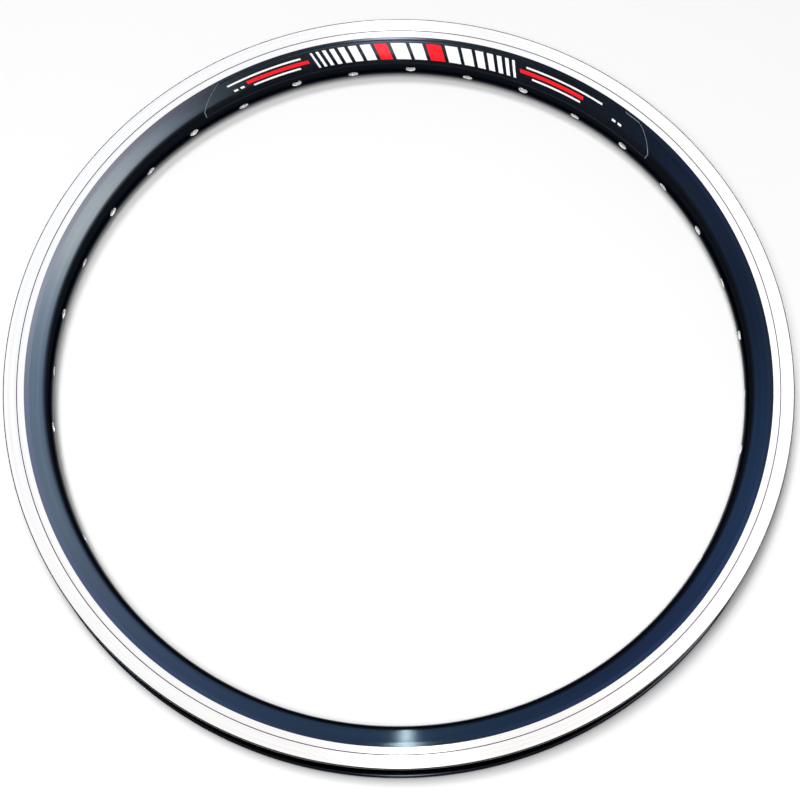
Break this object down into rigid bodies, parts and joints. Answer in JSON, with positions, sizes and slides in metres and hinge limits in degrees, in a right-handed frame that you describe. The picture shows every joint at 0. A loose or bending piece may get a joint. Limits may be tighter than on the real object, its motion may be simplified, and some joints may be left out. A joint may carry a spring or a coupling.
{
  "type": "bicycle rim",
  "caption": "Hollow double-wall aluminium bicycle rim with machined brake tracks, hooked flanges, staggered spoke holes, a valve hole and a printed film on one sidewall.",
  "frame": {"origin": "wheel centre, on the rim's mid plane", "axes": "+Z along the wheel axis and up, as the rim lies on its side; +Y towards the middle of the film, within a few degrees"},
  "size_m": [0.4189, 0.419, 0.0301],
  "materials": {
    "black_anodised_aluminium": "satin",
    "gloss_film": "gloss"
  },
  "bodies": {
    "root": {"rim_hoop": "black_anodised_aluminium", "decal_film": "gloss_film"}
  },
  "joints": []
}
